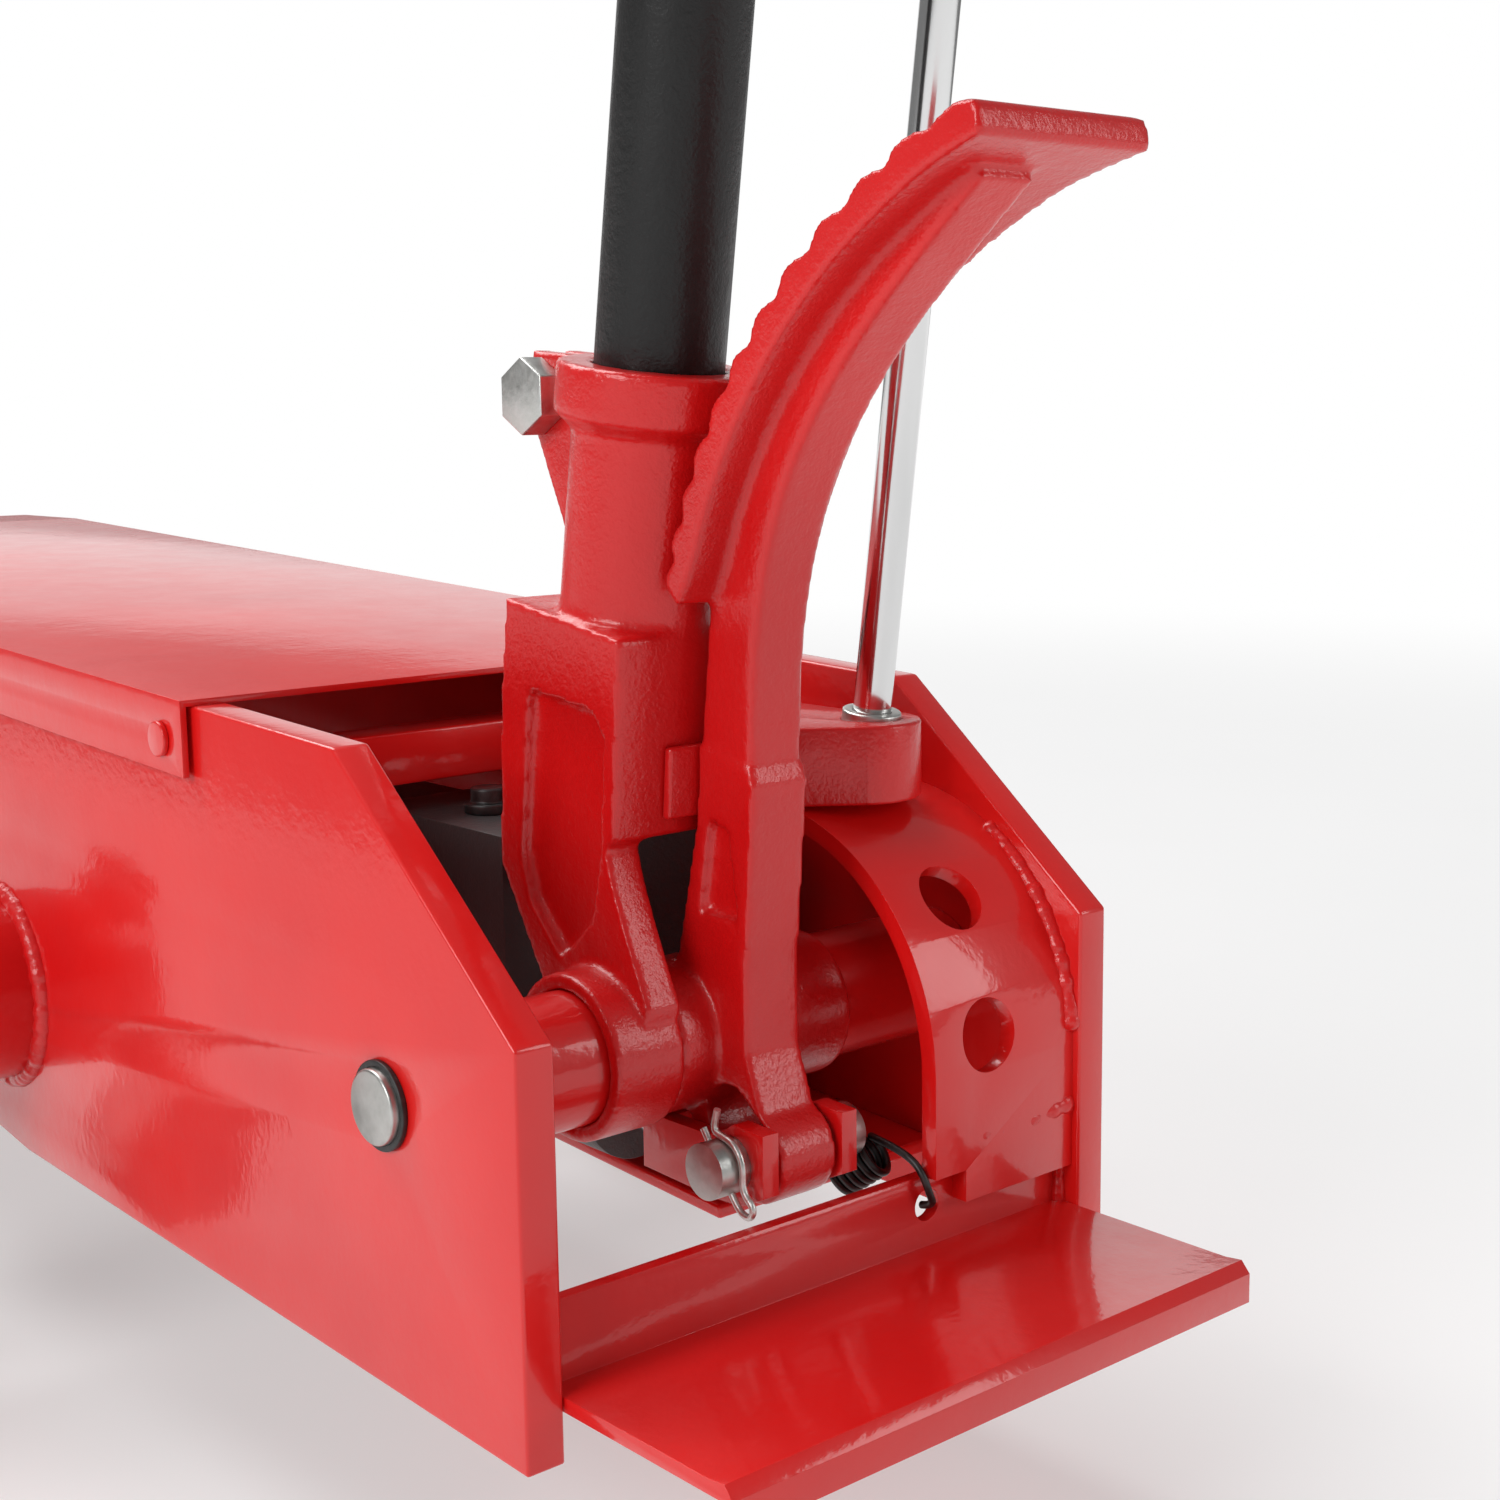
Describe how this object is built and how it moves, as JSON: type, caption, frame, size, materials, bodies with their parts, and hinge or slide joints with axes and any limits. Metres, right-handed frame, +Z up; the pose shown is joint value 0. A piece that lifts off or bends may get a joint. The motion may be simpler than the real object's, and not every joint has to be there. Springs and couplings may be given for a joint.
{
  "type": "hydraulic floor jack",
  "caption": "Long-chassis hydraulic floor jack with a leaning pump handle, foot pump pedal, release rod and rolling frame.",
  "frame": {"origin": "centre of the bounding box at the floor", "axes": "+Y towards the lifting saddle, -Y towards the handle and pedal, +X to the right seen from behind, +Z up"},
  "size_m": [0.384, 1.4522, 1.1357],
  "materials": {
    "red_paint": "gloss red enamel with light orange peel",
    "black_coat": "black textured powder coat",
    "chrome": "polished hard chrome",
    "zinc": "zinc plated steel",
    "bare_steel": "turned steel, lightly oiled",
    "dark_steel": "black oxide",
    "cast_red": "gloss red enamel over a sand casting",
    "wheel_iron": "cast iron, dark painted",
    "grip_rubber": "matt black moulded rubber"
  },
  "bodies": {
    "frame": {"side_plate_left": "red_paint", "side_plate_right": "red_paint", "top_cover": "red_paint", "cover_screws": "red_paint", "rear_cross_bar": "red_paint", "tail_plate": "red_paint", "arc_guard": "red_paint", "pivot_cross_tube": "red_paint", "pivot_pin": "bare_steel", "pin_rings": "dark_steel", "power_unit_base": "red_paint", "pump_block": "wheel_iron", "reservoir": "wheel_iron", "lift_cylinder": "wheel_iron", "filler_plug": "dark_steel", "release_valve_arm": "cast_red", "valve_gland": "zinc", "outrigger_tube_left": "red_paint", "outrigger_tube_right": "red_paint", "caster_sleeve_left": "red_paint", "caster_sleeve_right": "red_paint", "front_axle": "bare_steel", "axle_collars": "bare_steel", "front_ties": "red_paint", "lift_pivot_shaft": "bare_steel", "rod_stub_pins": "bare_steel", "return_spring": "dark_steel"},
    "handle": {"handle_socket": "cast_red", "contact_pad": "cast_red", "handle_tube": "black_coat", "handle_grip": "grip_rubber", "clamp_bolt": "zinc", "clamp_nut": "zinc"},
    "pedal": {"foot_pedal": "cast_red"},
    "plunger": {"pump_clevis": "red_paint", "pump_plunger": "chrome", "clevis_pin": "bare_steel", "r_clip": "zinc"},
    "release": {"release_rod": "chrome", "release_knob": "grip_rubber"},
    "ram": {"ram_rod": "chrome", "ram_crosshead": "cast_red"},
    "lift_arm": {"lift_arm_left": "red_paint", "lift_arm_right": "red_paint", "crank_pin": "bare_steel", "yoke_pin": "bare_steel", "arm_tie_tube": "red_paint"},
    "rods": {"radius_rod_left": "red_paint", "radius_rod_right": "red_paint", "rod_pin": "bare_steel"},
    "yoke": {"saddle_yoke": "cast_red"},
    "saddle": {"saddle_cup": "wheel_iron"},
    "front_wheel_l": {"front_wheel_left": "wheel_iron"},
    "front_wheel_r": {"front_wheel_right": "wheel_iron"},
    "caster_l": {"caster_fork_left": "zinc", "caster_axle_left": "zinc"},
    "caster_r": {"caster_fork_right": "zinc", "caster_axle_right": "zinc"},
    "caster_wheel_l": {"caster_wheel_left": "wheel_iron"},
    "caster_wheel_r": {"caster_wheel_right": "wheel_iron"}
  },
  "joints": [
    {"name": "handle_pump", "type": "hinge", "parent": "frame", "child": "handle", "pos_m": [0, -0.58039, 0.131], "axis": [1, 0, 0], "range_deg": [0, 16], "stiffness_Nm_per_rad": 20, "springref_deg": -20.05},
    {"name": "pedal_pump", "type": "hinge", "parent": "frame", "child": "pedal", "pos_m": [0, -0.58039, 0.131], "axis": [1, 0, 0], "range_deg": [0, 16]},
    {"name": "pump_stroke", "type": "slide", "parent": "frame", "child": "plunger", "axis": [0, 1, 0], "range_m": [0, 0.012]},
    {"name": "release_turn", "type": "hinge", "parent": "frame", "child": "release", "pos_m": [0.06, -0.57938, 0.191], "axis": [0, -0.1406, 0.9901], "range_deg": [-90, 90]},
    {"name": "lift", "type": "hinge", "parent": "frame", "child": "lift_arm", "pos_m": [0, 0.08611, 0.188], "axis": [1, 0, 0], "range_deg": [0, 45]},
    {"name": "ram_stroke", "type": "slide", "parent": "frame", "child": "ram", "axis": [0, 1, 0], "range_m": [0, 0.0475]},
    {"name": "rods_swing", "type": "hinge", "parent": "frame", "child": "rods", "pos_m": [0, 0.08611, 0.148], "axis": [1, 0, 0], "range_deg": [0, 45]},
    {"name": "yoke_level", "type": "hinge", "parent": "lift_arm", "child": "yoke", "pos_m": [0, 0.64305, 0.12946], "axis": [1, 0, 0], "range_deg": [-45, 0]},
    {"name": "saddle_swivel", "type": "hinge", "parent": "yoke", "child": "saddle", "pos_m": [0, 0.64305, 0.16796], "axis": [0, 0, 1], "continuous": true},
    {"name": "front_roll_left", "type": "hinge", "parent": "frame", "child": "front_wheel_l", "pos_m": [-0.12, 0.66611, 0.06], "axis": [1, 0, 0], "continuous": true},
    {"name": "front_roll_right", "type": "hinge", "parent": "frame", "child": "front_wheel_r", "pos_m": [0.12, 0.66611, 0.06], "axis": [1, 0, 0], "continuous": true},
    {"name": "caster_swivel_left", "type": "hinge", "parent": "frame", "child": "caster_l", "pos_m": [-0.165, -0.36089, 0.117], "axis": [0, 0, 1], "continuous": true},
    {"name": "caster_roll_left", "type": "hinge", "parent": "caster_l", "child": "caster_wheel_l", "pos_m": [-0.165, -0.33889, 0.038], "axis": [1, 0, 0], "continuous": true},
    {"name": "caster_swivel_right", "type": "hinge", "parent": "frame", "child": "caster_r", "pos_m": [0.165, -0.36089, 0.117], "axis": [0, 0, 1], "continuous": true},
    {"name": "caster_roll_right", "type": "hinge", "parent": "caster_r", "child": "caster_wheel_r", "pos_m": [0.165, -0.33889, 0.038], "axis": [1, 0, 0], "continuous": true}
  ],
  "couplings": [
    {"joint": "pedal_pump", "follows": "handle_pump", "ratio": 1},
    {"joint": "pump_stroke", "follows": "handle_pump", "m_per_rad": 0.042968},
    {"joint": "ram_stroke", "follows": "lift", "m_per_rad": 0.060415},
    {"joint": "rods_swing", "follows": "lift", "ratio": 1},
    {"joint": "yoke_level", "follows": "lift", "ratio": -1}
  ]
}
